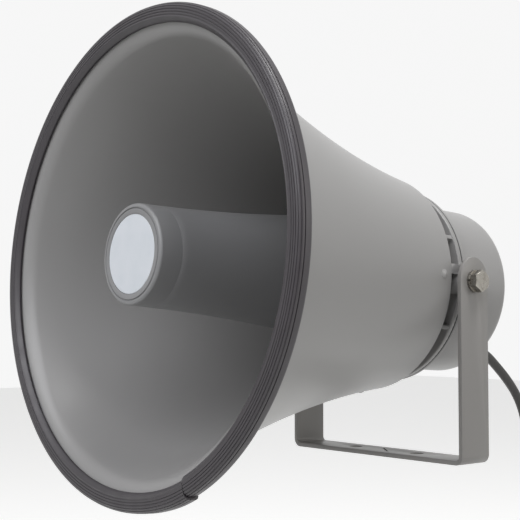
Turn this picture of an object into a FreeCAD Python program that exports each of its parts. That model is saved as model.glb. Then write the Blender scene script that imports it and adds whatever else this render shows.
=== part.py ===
import FreeCAD, Part
import math
import os

# A folded horn loudspeaker for outdoor use, on a U-shaped bracket.
# The sound leaves the driver at the back, runs forward in a narrow tube, turns round inside
# the reflector behind the nose, turns again at the rear base and leaves through the bell.
# Lengths are in millimetres. The origin is the middle of the bracket's foot, +Z is up,
# the mouth looks towards -Y and the horn tilts about X.
# s is the distance back from the rim's middle along the horn's axis, and r the radius there.

V = FreeCAD.Vector

# Whole horn
RIM_DIAMETER = 305.0
PIVOT_S = 212.7
PIVOT_HEIGHT = 120.9
MOUTH_UP_DEG = 3.67

# Bell
BELL_BACK_S = 198.1
BELL_BACK_R = 75.4
BELL_FRONT_S = 1.5
RIM_TO_BELL = 15.2
BELL_FRONT_R = RIM_DIAMETER / 2 - RIM_TO_BELL
BELL_BACK_SLOPE = 0.15
BELL_FRONT_SLOPE = 0.4627
BELL_WALL = 2.0
LIP_BEND = 2.0
RIM_TO_LIP = 4.9
LIP_EDGE_R = RIM_DIAMETER / 2 - RIM_TO_LIP

# Rim trim
TRIM_FRONT_S = -5.5
TRIM_WIDE = 9.9
TRIM_DEEP = 12.1
TRIM_ROUND = 3.8
TRIM_GROOVE_S = -1.6
TRIM_GROOVE = 0.6
TRIM_JOINT_DEG = -66.0
TRIM_JOINT_GAP = 0.8

# Reflector and nose
NOSE_FRONT_S = -4.7
NOSE_R = 31.0
NOSE_ROUND = 3.4
NOSE_CAP_BACK_S = 11.0
NOSE_WALL = 2.2
REFLECTOR_BACK_S = 158.0
REFLECTOR_FLARE = 12.6
REFLECTOR_BACK_R = NOSE_R + REFLECTOR_FLARE
REFLECTOR_WALL = 2.0
NOSE_SPIGOT = 6.0
LABEL_EDGE = 8.3
LABEL_R = NOSE_R - LABEL_EDGE
LABEL_THICK = 0.8
LABEL_GROOVE_EDGE = 5.7
LABEL_GROOVE_R = NOSE_R - LABEL_GROOVE_EDGE
LABEL_GROOVE = 0.9

# Throat tube
THROAT_R = 12.5
TUBE_FLARE = 6.5
TUBE_MOUTH_R = THROAT_R + TUBE_FLARE
TUBE_FRONT_S = 26.0
TUBE_BACK_S = 209.0
TUBE_WALL = 2.0
PLUG_LONG = 11.0
PLUG_BACK_S = TUBE_BACK_S + 2.0
PLUG_R = 0.6 * THROAT_R
PLUG_TIP_R = 2.0
FIN_THICK = 2.2
FIN_FRONT_S = 122.0
FIN_BACK_S = 140.0

# Rear base casting
FIT = 0.1
SPIGOT_FRONT_S = 180.0
BELL_TO_NECK = 16.9
NECK_R = BELL_BACK_R - BELL_TO_NECK
NECK_WALL = 3.5
BELL_TO_FLANGE = 6.8
FLANGE_R = BELL_BACK_R - BELL_TO_FLANGE
FLANGE_THICK = 3.9
FLANGE_BACK_S = 217.8
FLANGE_FRONT_S = FLANGE_BACK_S - FLANGE_THICK
BACK_WALL = 5.8
BACK_WALL_S = FLANGE_BACK_S - BACK_WALL
DRIVER_RECESS_R = 26.0
SOCKET_LONG = 9.0
SOCKET_WALL = 5.5
SOCKET_FOOT = 12.0
SCREW_DEEP = 4.4
THIN_RIB = 2.8
THIN_RIB_DEGS = (27.0, 90.0, 153.0, 207.0, 270.0, 333.0)
WEB_LOW = 4.2
WEB_THICK = 6.5
RIVET_S = 189.0
RIVET_R = 1.6
RIVET_HEAD_R = 3.1
RIVET_LONG = 8.0

# Bracket
ARM_CLEAR = 4.1
STRIP = 3.0
BRACKET_WIDTH = 2 * (BELL_BACK_R + ARM_CLEAR + STRIP)
STRIP_WIDE = 27.0
OUTER_BEND = 6.0
FOOT_HOLE_SPACING = 60.0
FOOT_HOLE_R = 4.8
FOOT_SLOT_LONG = 20.0
FOOT_SLOT_WIDE = 1.4
FOOT_SLOT_DEG = -38.0

# Tilt bolts, M8
BOLT_R = 4.0
BOLT_LONG = 20.0
HEAD_ACROSS = 13.0
HEAD_HIGH = 5.3
SPRING_WASHER_R = 7.4
SPRING_WASHER_THICK = 2.0
BOSS_R = 8.0
INSERT_R = 5.5
INSERT_LONG = 15.0
FRICTION_THICK = 1.0
SLIDE_GAP = 0.06
RUN_GAP = 0.05

# Rear cover
GASKET_THICK = 0.8
FLANGE_TO_COVER = 9.1
COVER_R = FLANGE_R - FLANGE_TO_COVER
COVER_WALL = 3.0
COVER_CORNER = 8.0
COVER_BACK_S = 281.0
COVER_DOME = 3.2
PILLAR_IN = 10.0
PILLAR_AT_R = COVER_R - PILLAR_IN
PILLAR_R = 4.5
COVER_SCREW_R = 2.0
COVER_SCREW_HEAD_R = 3.7
COVER_SCREW_SEAT_S = COVER_BACK_S - 8.0

# Driver
PILLAR_TO_PLATE = 1.0
TOP_PLATE_R = PILLAR_AT_R - PILLAR_R - PILLAR_TO_PLATE
TOP_PLATE_THICK = 5.0
PLATE_TO_MAGNET = 9.0
MAGNET_R = TOP_PLATE_R - PLATE_TO_MAGNET
MAGNET_THICK = 12.0
COIL_R = 17.0
COIL_WALL = 0.8
COIL_LONG = 6.0
POLE_R = COIL_R - 1.4
DRIVER_SCREW_IN = 4.0
DRIVER_SCREW_AT_R = TOP_PLATE_R - DRIVER_SCREW_IN

# Cord, strain relief and coil
CORD_D = 7.0
GLAND_IN = 17.5
GLAND_NUT = 15.0
GLAND_NUT_HIGH = 4.5
GLAND_BELOW = COVER_R - GLAND_IN
RELIEF_LONG = 24.0
RELIEF_BACK_S = COVER_BACK_S + RELIEF_LONG
# From the strain relief's end, in the position at rest: how far back, how far up
CORD_ROUTE = [
    (0.0, 0.0),
    (12.0, -0.8),
    (22.9, -4.9),
    (33.9, -13.3),
    (47.4, -24.3),
    (59.9, -37.5),
    (68.4, -53.2),
    (73.4, -72.2),
    (76.4, -94.7),
    (80.4, -120.7),
    (88.4, -147.7),
    (98.4, -172.7),
]
COIL_RING_R = 40.0
COIL_ENTRY_DEG = 24.5
COIL_TURNS = 2.35
TIE_WIDE = 8.0
TIE_THICK = 1.2
TAIL_LONG = 34.0
LEAD_R = 1.4
LEAD_LONG = 26.0


# Drawing helpers


def on_axis(s, r):
    """A point of an outline: s along the horn's axis, r out from it."""
    return V(0, s - PIVOT_S, r)


def outline(start, *steps):
    """A closed face: a step of one point is a straight line, two make an arc, four a curve."""
    edges = []
    here = on_axis(*start)
    for step in steps:
        points = [here]
        for point in step if isinstance(step[0], tuple) else [step]:
            points.append(on_axis(*point))
        if len(points) == 2:
            edges.append(Part.makeLine(points[0], points[1]))
        elif len(points) == 3:
            edges.append(Part.Arc(*points).toShape())
        else:
            curve = Part.BezierCurve()
            curve.setPoles(points)
            edges.append(curve.toShape())
        here = points[-1]
    edges.append(Part.makeLine(here, on_axis(*start)))
    return Part.Face(Part.Wire(edges))


def dome(edge_s, edge_r, top_s):
    """The two further points of an arc from an edge to the axis, part of a sphere."""
    rise = top_s - edge_s
    ball = (edge_r ** 2 + rise ** 2) / (2 * rise)
    half_way = top_s - ball + math.copysign(math.sqrt(ball ** 2 - edge_r ** 2 / 4), ball)
    return ((half_way, edge_r / 2), (top_s, 0))


def rounded(corners):
    """A closed face of straight runs; a third number at a corner is its rounding radius."""
    points = [on_axis(c[0], c[1]) for c in corners]
    edges = []
    ends = []
    for i, corner in enumerate(corners):
        radius = corner[2] if len(corner) > 2 else 0
        back = (points[i - 1] - points[i]).normalize()
        on = (points[(i + 1) % len(points)] - points[i]).normalize()
        if not radius:
            ends.append((points[i], points[i]))
            continue
        half = back.getAngle(on) / 2
        reach = radius / math.tan(half)
        middle = (back + on).normalize()
        centre = points[i] + middle * (radius / math.sin(half))
        first = points[i] + back * reach
        last = points[i] + on * reach
        edges.append(Part.Arc(first, centre - middle * radius, last).toShape())
        ends.append((first, last))
    for i, (first, last) in enumerate(ends):
        edges.append(Part.makeLine(ends[i - 1][1], first))
    return Part.Face(Part.Wire(Part.__sortEdges__(edges)))


def turned(face, start=0.0, sweep=360.0):
    """A face turned about the horn's axis, from straight up towards +X."""
    axis = V(0, 1, 0)
    if start:
        face = face.copy()
        face.rotate(V(0, 0, 0), axis, start)
    return face.revolve(V(0, 0, 0), axis, sweep)


def round_axis(shape, degrees):
    """A copy moved round the horn's axis; 0 is +X and 90 is up."""
    copy = shape.copy()
    copy.rotate(V(0, 0, 0), V(0, 1, 0), 90 - degrees)
    return copy


def rod(s_from, s_to, r, x=0.0, z=0.0):
    """A cylinder along the horn's axis."""
    return Part.makeCylinder(r, s_to - s_from, V(x, s_from - PIVOT_S, z), V(0, 1, 0))


def block(x, s, z):
    """A box from three pairs of limits."""
    return Part.makeBox(x[1] - x[0], s[1] - s[0], z[1] - z[0], V(x[0], s[0] - PIVOT_S, z[0]))


def across(x_from, x_to, r):
    """A cylinder along X, on the tilt axis."""
    return Part.makeCylinder(r, x_to - x_from, V(x_from, 0, 0), V(1, 0, 0))


def both_sides(shape):
    """The shape and its mirror image on the other side of the horn."""
    return [shape, shape.mirror(V(0, 0, 0), V(1, 0, 0))]


def hexagon_rod(x_from, x_to, across_flats):
    """A six-sided bar along X, with a point up."""
    corner = across_flats / math.sqrt(3)
    points = []
    for i in range(7):
        turn = math.radians(60 * i + 90)
        points.append(V(x_from, corner * math.cos(turn), corner * math.sin(turn)))
    return Part.Face(Part.makePolygon(points)).extrude(V(x_to - x_from, 0, 0))


def joined(shapes):
    """One solid of several that touch or overlap."""
    return shapes[0].fuse(shapes[1:]).removeSplitter()


# Outlines that several pieces share


def bell_outer_r(s):
    """The bell's outer radius at s."""
    long = BELL_BACK_S - BELL_FRONT_S
    t = (BELL_BACK_S - s) / long
    third = long / 3
    near_back = BELL_BACK_R + BELL_BACK_SLOPE * third
    near_front = BELL_FRONT_R - BELL_FRONT_SLOPE * third
    return (
        BELL_BACK_R * (1 - t) ** 3
        + 3 * near_back * t * (1 - t) ** 2
        + 3 * near_front * t ** 2 * (1 - t)
        + BELL_FRONT_R * t ** 3
    )


def reflector_outer_r(s):
    """The reflector's outer radius at s: level at the nose, wider towards the back."""
    t = s / REFLECTOR_BACK_S
    return NOSE_R + 1.9 * t + (REFLECTOR_BACK_R - NOSE_R - 1.9) * t ** 2


def tube_inner_r(s):
    """The throat tube's bore at s."""
    t = (TUBE_BACK_S - s) / (TUBE_BACK_S - TUBE_FRONT_S)
    return THROAT_R + (TUBE_MOUTH_R - THROAT_R) * t


# Bell, trim, reflector


def bell():
    """A spun bell whose front edge is turned outwards into a flat lip."""
    long = BELL_BACK_S - BELL_FRONT_S
    slope = math.atan(BELL_FRONT_SLOPE)
    out_s = math.sin(slope)
    out_r = math.cos(slope)
    centre_s = BELL_FRONT_S + LIP_BEND * out_s
    centre_r = BELL_FRONT_R + LIP_BEND * out_r
    turn = math.radians(180) + (math.pi / 2 - slope) / 2
    bend = [(centre_s + radius * math.cos(turn), centre_r + radius * math.sin(turn))
            for radius in (LIP_BEND, LIP_BEND + BELL_WALL)]
    inner_front_s = BELL_FRONT_S - BELL_WALL * out_s
    inner_front_r = BELL_FRONT_R - BELL_WALL * out_r
    back_third = BELL_BACK_SLOPE * long / 3
    front_third = BELL_FRONT_SLOPE * long / 3
    face = outline(
        (BELL_BACK_S, BELL_BACK_R),
        ((BELL_BACK_S - long / 3, BELL_BACK_R + back_third),
         (BELL_FRONT_S + long / 3, BELL_FRONT_R - front_third),
         (BELL_FRONT_S, BELL_FRONT_R)),
        (bend[0], (centre_s - LIP_BEND, centre_r)),
        (centre_s - LIP_BEND, LIP_EDGE_R),
        (centre_s - LIP_BEND - BELL_WALL, LIP_EDGE_R),
        (centre_s - LIP_BEND - BELL_WALL, centre_r),
        (bend[1], (inner_front_s, inner_front_r)),
        ((inner_front_s + long / 3, inner_front_r - front_third),
         (BELL_BACK_S - long / 3, BELL_BACK_R - BELL_WALL + back_third),
         (BELL_BACK_S, BELL_BACK_R - BELL_WALL)),
    )
    shape = turned(face)
    for hole in rivet_shanks(RIVET_R):
        shape = shape.cut(hole)
    return shape


def lip_back_s():
    """Where the back face of the bell's lip is."""
    slope = math.atan(BELL_FRONT_SLOPE)
    return BELL_FRONT_S + LIP_BEND * math.sin(slope) - LIP_BEND


def rim_trim():
    """A rubber moulding pushed over the lip, butted at one place, with a groove round it."""
    back = lip_back_s()
    front = back - BELL_WALL
    outer = RIM_DIAMETER / 2
    inner = outer - TRIM_DEEP
    trim_back_s = TRIM_FRONT_S + TRIM_WIDE
    face = rounded([
        (TRIM_FRONT_S, inner, 2.6),
        (TRIM_FRONT_S, outer, TRIM_ROUND),
        (TRIM_GROOVE_S, outer),
        (TRIM_GROOVE_S, outer - TRIM_GROOVE),
        (TRIM_GROOVE_S + TRIM_GROOVE, outer - TRIM_GROOVE),
        (TRIM_GROOVE_S + TRIM_GROOVE, outer),
        (trim_back_s, outer, 2.5),
        (trim_back_s, inner, 2.0),
        (back, inner),
        (back, LIP_EDGE_R),
        (front, LIP_EDGE_R),
        (front, inner),
    ])
    gap = math.degrees(TRIM_JOINT_GAP / outer)
    return turned(face, 90 - TRIM_JOINT_DEG + gap / 2, 360 - gap)


def reflector():
    """The folded horn's middle section: closed at the nose, open and wider at the back."""
    wall = REFLECTOR_WALL
    front = NOSE_CAP_BACK_S
    third = (REFLECTOR_BACK_S - front) / 3
    face = outline(
        (front - NOSE_SPIGOT, 0),
        (front - NOSE_SPIGOT, NOSE_R - NOSE_WALL - FIT),
        (front, NOSE_R - NOSE_WALL - FIT),
        (front, reflector_outer_r(front)),
        ((front + third, reflector_outer_r(front) + 0.9),
         (REFLECTOR_BACK_S - third, REFLECTOR_BACK_R - 7.2),
         (REFLECTOR_BACK_S, REFLECTOR_BACK_R)),
        (REFLECTOR_BACK_S, REFLECTOR_BACK_R - wall),
        ((REFLECTOR_BACK_S - third, REFLECTOR_BACK_R - 7.2 - wall),
         (front + third, reflector_outer_r(front) + 0.9 - wall),
         (front + 6, reflector_outer_r(front) - wall)),
        (front + 3, NOSE_R - NOSE_WALL - 6),
        (front + 3, 0),
    )
    return turned(face)


def nose_cap():
    """The rounded cap on the reflector's nose, with a groove round its label."""
    front = NOSE_FRONT_S
    floor = front + LABEL_THICK
    inner = NOSE_R - NOSE_WALL
    face = rounded([
        (floor, 0),
        (floor, LABEL_R + FIT),
        (front, LABEL_R + FIT),
        (front, LABEL_GROOVE_R - LABEL_GROOVE / 2),
        (front + LABEL_GROOVE, LABEL_GROOVE_R - LABEL_GROOVE / 2),
        (front + LABEL_GROOVE, LABEL_GROOVE_R + LABEL_GROOVE / 2),
        (front, LABEL_GROOVE_R + LABEL_GROOVE / 2),
        (front, NOSE_R - 0.1, NOSE_ROUND),
        (NOSE_CAP_BACK_S, NOSE_R + 0.1),
        (NOSE_CAP_BACK_S, inner),
        (floor + 2.4, inner, 1.5),
        (floor + 2.4, 0),
    ])
    return turned(face)


def label_plate():
    """A bare white disc set into the nose cap."""
    return rod(NOSE_FRONT_S + 0.1, NOSE_FRONT_S + LABEL_THICK, LABEL_R)


def throat_tube():
    """A tapered tube with three fins that carry the reflector."""
    front = tube_inner_r(TUBE_FRONT_S)
    back = tube_inner_r(TUBE_BACK_S)
    face = outline(
        (TUBE_BACK_S, back),
        (TUBE_BACK_S, back + TUBE_WALL),
        (TUBE_FRONT_S, front + TUBE_WALL),
        (TUBE_FRONT_S, front),
    )
    pieces = [turned(face)]
    wall = REFLECTOR_WALL + 0.3
    fin = outline(
        (FIN_FRONT_S, tube_inner_r(FIN_FRONT_S) + 1),
        (FIN_FRONT_S, reflector_outer_r(FIN_FRONT_S) - wall),
        (FIN_BACK_S, reflector_outer_r(FIN_BACK_S) - wall),
        (FIN_BACK_S, tube_inner_r(FIN_BACK_S) + 1),
    ).extrude(V(FIN_THICK, 0, 0))
    fin.translate(V(-FIN_THICK / 2, 0, 0))
    for degrees in (90, 210, 330):
        pieces.append(round_axis(fin, degrees))
    return joined(pieces)


def phase_plug():
    """A cone in the throat, just in front of the diaphragm, held by three thin fins."""
    tip = PLUG_BACK_S - PLUG_LONG
    cone = turned(rounded([
        (tip, 0),
        (tip, PLUG_TIP_R, PLUG_TIP_R / 2),
        (PLUG_BACK_S, PLUG_R, PLUG_TIP_R / 2),
        (PLUG_BACK_S, 0),
    ]))
    fin = block((-0.6, 0.6), (TUBE_BACK_S - 4, TUBE_BACK_S), (1.0, tube_inner_r(TUBE_BACK_S) - FIT))
    fins = [round_axis(fin, degrees) for degrees in (30, 150, 270)]
    return joined([cone] + fins)


# Rear base


def rivet_shanks(r):
    """Four rods through the bell and the base's spigot."""
    middle = bell_outer_r(RIVET_S)
    rods = []
    for degrees in (2.3, 92.3, 182.3, 272.3):
        shank = Part.makeCylinder(r, 12, V(0, RIVET_S - PIVOT_S, middle - 9), V(0, 0, 1))
        rods.append(round_axis(shank, degrees))
    return rods


def bell_rivets():
    """Four dome-headed rivets that hold the bell on the spigot."""
    top = bell_outer_r(RIVET_S) + 0.35
    centre = V(0, RIVET_S - PIVOT_S, top)
    pieces = []
    for degrees in (2.3, 92.3, 182.3, 272.3):
        dome_r = (RIVET_HEAD_R ** 2 + 1.0) / 2.0
        dome = Part.makeSphere(dome_r, centre + V(0, 0, 1.0 - dome_r))
        dome = dome.common(Part.makeCylinder(RIVET_HEAD_R, 2.0, centre, V(0, 0, 1)))
        foot = centre - V(0, 0, RIVET_LONG)
        shank = Part.makeCylinder(RIVET_R - 0.05, RIVET_LONG, foot, V(0, 0, 1))
        pieces.append(round_axis(joined([dome, shank]), degrees))
    return pieces


def screw_places(at_r, degrees):
    """Where screws round the axis are, as x and z."""
    return [(at_r * math.cos(math.radians(d)), at_r * math.sin(math.radians(d)))
            for d in degrees]


def rear_base():
    """The casting behind the bell: spigot, neck with ribs, flange and tilt bosses."""
    bell_inner_front = bell_outer_r(SPIGOT_FRONT_S) - BELL_WALL - 2 * FIT
    bell_inner_back = BELL_BACK_R - BELL_WALL - 2 * FIT
    wall = NECK_WALL
    socket_s = TUBE_BACK_S - SOCKET_LONG
    socket_r = THROAT_R + TUBE_WALL
    face = rounded([
        (SPIGOT_FRONT_S, bell_inner_front),
        (BELL_BACK_S, bell_inner_back),
        (BELL_BACK_S, NECK_R),
        (FLANGE_FRONT_S, NECK_R),
        (FLANGE_FRONT_S, FLANGE_R, 0.8),
        (FLANGE_BACK_S, FLANGE_R, 0.8),
        (FLANGE_BACK_S, DRIVER_RECESS_R),
        (BACK_WALL_S, DRIVER_RECESS_R),
        (BACK_WALL_S, THROAT_R),
        (TUBE_BACK_S, THROAT_R),
        (TUBE_BACK_S, socket_r + FIT),
        (socket_s, socket_r + 0.5),
        (socket_s, socket_r + SOCKET_WALL, 2.0),
        (BACK_WALL_S, socket_r + SOCKET_WALL + SOCKET_FOOT, 4.0),
        (BACK_WALL_S, NECK_R - wall, 6.0),
        (BELL_BACK_S - wall, NECK_R - wall, 3.0),
        (BELL_BACK_S - wall, bell_inner_back - wall, 4.0),
        (SPIGOT_FRONT_S, bell_inner_front - wall),
    ])
    pieces = [turned(face)]
    rib = block((-THIN_RIB / 2, THIN_RIB / 2), (BELL_BACK_S - 1, FLANGE_FRONT_S + 1),
                (NECK_R - 1, FLANGE_R - 0.8))
    for degrees in THIN_RIB_DEGS:
        pieces.append(round_axis(rib, degrees))
    web = block((NECK_R - 1, BELL_BACK_R - 0.3), (BELL_BACK_S, FLANGE_BACK_S),
                (WEB_LOW, WEB_LOW + WEB_THICK))
    boss = across(NECK_R - 2, boss_end_x(), BOSS_R)
    boss = boss.cut(rod(FLANGE_BACK_S, FLANGE_BACK_S + 20, COVER_R + 1.5))
    pieces += both_sides(web) + both_sides(boss)
    shape = joined(pieces)
    bores = both_sides(across(boss_end_x() - INSERT_LONG, boss_end_x() + 1, INSERT_R))
    bores += both_sides(across(boss_end_x() - INSERT_LONG - 0.8, boss_end_x(), BOLT_R + 0.1))
    bores += rivet_shanks(RIVET_R)
    deep = FLANGE_BACK_S - SCREW_DEEP - 0.4
    for x, z in screw_places(PILLAR_AT_R, (45, 135, 225, 315)):
        bores.append(rod(deep, FLANGE_BACK_S + 1, COVER_SCREW_R, x, z))
    for x, z in screw_places(DRIVER_SCREW_AT_R, (0, 90, 180, 270)):
        bores.append(rod(deep, FLANGE_BACK_S + 1, COVER_SCREW_R, x, z))
    return shape.cut(bores)


# Bracket and tilt bolts


def arm_inner_x():
    return BRACKET_WIDTH / 2 - STRIP


def boss_end_x():
    return arm_inner_x() - FRICTION_THICK - SLIDE_GAP


def bracket():
    """A steel strip bent into a U, with round arm tops, foot holes and a foot slot."""
    half = BRACKET_WIDTH / 2
    top = PIVOT_HEIGHT + STRIP_WIDE / 2
    outer = block_row(-half, half, 0, top)
    inner = block_row(-half + STRIP, half - STRIP, STRIP, top + 1)
    outer = outer.makeFillet(OUTER_BEND, lower_edges(outer, 0))
    inner = inner.makeFillet(OUTER_BEND - STRIP, lower_edges(inner, STRIP))
    strip = outer.cut(inner)
    tall = block_row(-half - 1, half + 1, 0, PIVOT_HEIGHT)
    crown = lifted(across(-half - 1, half + 1, STRIP_WIDE / 2))
    strip = strip.common(tall.fuse(crown))
    bores = [lifted(across(-half - 1, half + 1, BOLT_R + RUN_GAP))]
    for side in (-1, 1):
        place = V(side * FOOT_HOLE_SPACING / 2, 0, -1)
        bores.append(Part.makeCylinder(FOOT_HOLE_R, STRIP + 2, place))
    slot = Part.makeBox(FOOT_SLOT_LONG, FOOT_SLOT_WIDE, STRIP + 2,
                        V(-FOOT_SLOT_LONG / 2, -FOOT_SLOT_WIDE / 2, -1))
    slot.rotate(V(0, 0, 0), V(0, 0, 1), FOOT_SLOT_DEG)
    bores.append(slot)
    return strip.cut(bores).removeSplitter()


def block_row(x_from, x_to, z_from, z_to):
    """A box over the bracket's whole strip width."""
    corner = V(x_from, -STRIP_WIDE / 2, z_from)
    return Part.makeBox(x_to - x_from, STRIP_WIDE, z_to - z_from, corner)


def lower_edges(box, z):
    """A box's two bottom edges that run along Y."""
    found = []
    for edge in box.Edges:
        a, b = edge.Vertexes[0].Point, edge.Vertexes[1].Point
        if abs(a.z - z) < 0.01 and abs(b.z - z) < 0.01 and abs(a.x - b.x) < 0.01:
            found.append(edge)
    return found


def washer_face_x():
    return BRACKET_WIDTH / 2 + SLIDE_GAP


def tilt_bolt():
    """An M8 hexagon bolt that screws into the boss through the bracket's arm."""
    seat = washer_face_x() + SPRING_WASHER_THICK
    head = hexagon_rod(seat, seat + HEAD_HIGH, HEAD_ACROSS)
    cone = Part.makeCone(HEAD_ACROSS / 2 + HEAD_HIGH * 1.75, HEAD_ACROSS / 2 - 0.2,
                         HEAD_HIGH, V(seat, 0, 0), V(1, 0, 0))
    shank = across(seat - BOLT_LONG, seat, BOLT_R)
    return joined([head.common(cone), shank])


def spring_washer():
    """A split spring washer, cut through at one place."""
    face = washer_face_x()
    ring = across(face, face + SPRING_WASHER_THICK, SPRING_WASHER_R)
    ring = ring.cut(across(face - 1, face + SPRING_WASHER_THICK + 1, BOLT_R + 0.1))
    split = Part.makeBox(SPRING_WASHER_THICK + 2, 6, 1.0, V(face - 1, -8.5, -0.5))
    return ring.cut(split)


def friction_washer():
    """A thin fibre washer between the boss and the arm."""
    ring = across(boss_end_x(), boss_end_x() + FRICTION_THICK, BOSS_R)
    return ring.cut(across(boss_end_x() - 1, boss_end_x() + 3, BOLT_R + 0.3))


def boss_insert():
    """A brass threaded insert in the boss."""
    ring = across(boss_end_x() - INSERT_LONG, boss_end_x(), INSERT_R)
    return ring.cut(across(boss_end_x() - INSERT_LONG - 1, boss_end_x() + 1, BOLT_R + RUN_GAP))


# Rear cover


def cover_back_s(r, inset=0.0):
    """Where the domed rear face is at radius r."""
    return COVER_BACK_S - inset - COVER_DOME * (r / COVER_R) ** 2


def rear_cover():
    """A cup over the driver, domed at the back, with four screw pillars inside."""
    front = FLANGE_BACK_S + GASKET_THICK
    corner = COVER_CORNER
    flat_r = COVER_R - corner
    inner_corner = corner - COVER_WALL
    diagonal = math.sqrt(0.5)
    back = cover_back_s(flat_r)
    inside = dome(back - COVER_WALL, flat_r, COVER_BACK_S - COVER_WALL)
    face = outline(
        (front, COVER_R - COVER_WALL),
        (front, COVER_R),
        (back - corner, COVER_R),
        ((back - corner + corner * diagonal, flat_r + corner * diagonal), (back, flat_r)),
        dome(back, flat_r, COVER_BACK_S),
        (COVER_BACK_S - COVER_WALL, 0),
        (inside[0], (back - COVER_WALL, flat_r)),
        ((back - corner + inner_corner * diagonal, flat_r + inner_corner * diagonal),
         (back - corner, COVER_R - COVER_WALL)),
    )
    pieces = [turned(face)]
    holes = [gland_rod(COVER_BACK_S - 12, COVER_BACK_S + 4, 6.05)]
    for x, z in screw_places(PILLAR_AT_R, (45, 135, 225, 315)):
        pieces.append(rod(FLANGE_BACK_S + 0.3, back - COVER_WALL / 2, PILLAR_R, x, z))
        holes.append(rod(FLANGE_BACK_S, COVER_BACK_S + 4, COVER_SCREW_R + 0.15, x, z))
        holes.append(rod(COVER_SCREW_SEAT_S, COVER_BACK_S + 4, COVER_SCREW_HEAD_R + 0.3, x, z))
    return joined(pieces).cut(holes)


def cover_gasket():
    """The thin seal between base and cover, its edge just proud of the cover."""
    face = outline(
        (FLANGE_BACK_S, COVER_R - COVER_WALL - 1),
        (FLANGE_BACK_S, COVER_R + 0.6),
        (FLANGE_BACK_S + GASKET_THICK, COVER_R + 0.6),
        (FLANGE_BACK_S + GASKET_THICK, COVER_R - COVER_WALL - 1),
    )
    return turned(face)


def pan_screw(x, z, head_s, head_r, head_high, tip_s):
    """A screw along the axis, its head towards the back, with a cross recess."""
    shape = joined([rod(head_s, head_s + head_high, head_r, x, z),
                    rod(tip_s, head_s, COVER_SCREW_R, x, z)])
    top_s = head_s + head_high
    for wide, tall in ((0.5, 2.0), (2.0, 0.5)):
        slot = block((x - wide, x + wide), (top_s - 1.6, top_s + 1), (z - tall, z + tall))
        shape = shape.cut(slot)
    return shape


def cover_screws():
    """Four long screws through the pillars into the base."""
    return [pan_screw(x, z, COVER_SCREW_SEAT_S, COVER_SCREW_HEAD_R, 3.0, FLANGE_BACK_S - SCREW_DEEP)
            for x, z in screw_places(PILLAR_AT_R, (45, 135, 225, 315))]


# Driver


def driver_top_plate():
    front = FLANGE_BACK_S
    back = front + TOP_PLATE_THICK
    ring = rod(front, back, TOP_PLATE_R)
    holes = [rod(front - 1, back + 1, COIL_R + 0.6)]
    for x, z in screw_places(DRIVER_SCREW_AT_R, (0, 90, 180, 270)):
        holes.append(rod(front - 1, back + 1, COVER_SCREW_R + 0.15, x, z))
    return ring.cut(holes)


def driver_magnet():
    front = FLANGE_BACK_S + TOP_PLATE_THICK
    ring = rod(front, front + MAGNET_THICK, MAGNET_R)
    return ring.cut(rod(front - 1, front + MAGNET_THICK + 1, COIL_R + 2.5))


def plate_back_s():
    return FLANGE_BACK_S + 2 * TOP_PLATE_THICK + MAGNET_THICK


def driver_back_plate():
    """The back plate with its round pole, which ends level with the top plate."""
    front = plate_back_s() - TOP_PLATE_THICK
    return joined([rod(front, plate_back_s(), MAGNET_R),
                   rod(FLANGE_BACK_S + 0.4, front, POLE_R)])


def diaphragm():
    """A thin dome with a flat surround, clamped under the top plate."""
    back = FLANGE_BACK_S
    inside = dome(back, COIL_R, back - 4.2)
    face = outline(
        (back, DRIVER_RECESS_R - FIT),
        (back - 0.9, DRIVER_RECESS_R - FIT),
        (back - 0.9, COIL_R + 0.8),
        dome(back - 0.9, COIL_R + 0.8, back - 5.0),
        (back - 4.2, 0),
        (inside[0], (back, COIL_R)),
    )
    return turned(face)


def voice_coil():
    tube = rod(FLANGE_BACK_S, FLANGE_BACK_S + COIL_LONG, COIL_R)
    return tube.cut(rod(FLANGE_BACK_S - 1, FLANGE_BACK_S + COIL_LONG + 1, COIL_R - COIL_WALL))


def driver_screws():
    head = FLANGE_BACK_S + TOP_PLATE_THICK
    return [pan_screw(x, z, head, 3.5, 2.6, FLANGE_BACK_S - SCREW_DEEP)
            for x, z in screw_places(DRIVER_SCREW_AT_R, (0, 90, 180, 270))]


def transformer_core():
    """The line transformer's iron, with two windows beside its middle leg."""
    front = plate_back_s() + 4.0
    core = block((-19, 19), (front, front + 13), (-15, 15))
    windows = [block((5, 12.5), (front - 1, front + 14), (-10, 10))]
    windows.append(block((-12.5, -5), (front - 1, front + 14), (-10, 10)))
    return core.cut(windows)


def transformer_winding():
    front = plate_back_s()
    winding = block((-12, 12), (front, front + 21), (-9.6, 9.6))
    return winding.cut(block((-5, 5), (front + 4, front + 17), (-16, 16)))


# Cord


def gland_rod(s_from, s_to, r):
    """A cylinder on the cord gland's own axis."""
    return rod(s_from, s_to, r, 0, -GLAND_BELOW)


def cable_gland():
    """A six-sided gland with a tapered strain relief for the cord."""
    seat = cover_back_s(GLAND_BELOW - GLAND_NUT / 2)
    nut = hexagon_rod(0, GLAND_NUT_HIGH, GLAND_NUT)
    nut.rotate(V(0, 0, 0), V(0, 0, 1), 90)
    nut.translate(V(0, seat - PIVOT_S, -GLAND_BELOW))
    nut_end = seat + GLAND_NUT_HIGH
    taper = Part.makeCone(6.4, CORD_D / 2 + 0.9, RELIEF_BACK_S - nut_end,
                          V(0, nut_end - PIVOT_S, -GLAND_BELOW), V(0, 1, 0))
    shank = gland_rod(COVER_BACK_S - 12, seat, 6.0)
    return joined([shank, nut, taper])


def gland_locknut():
    """The nut that holds the gland from inside the cover."""
    back = cover_back_s(GLAND_BELOW + 9.0, COVER_WALL) - 0.3
    return gland_rod(back - 3, back, 8.6).cut(gland_rod(back - 4, back + 1, 6.05))


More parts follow.
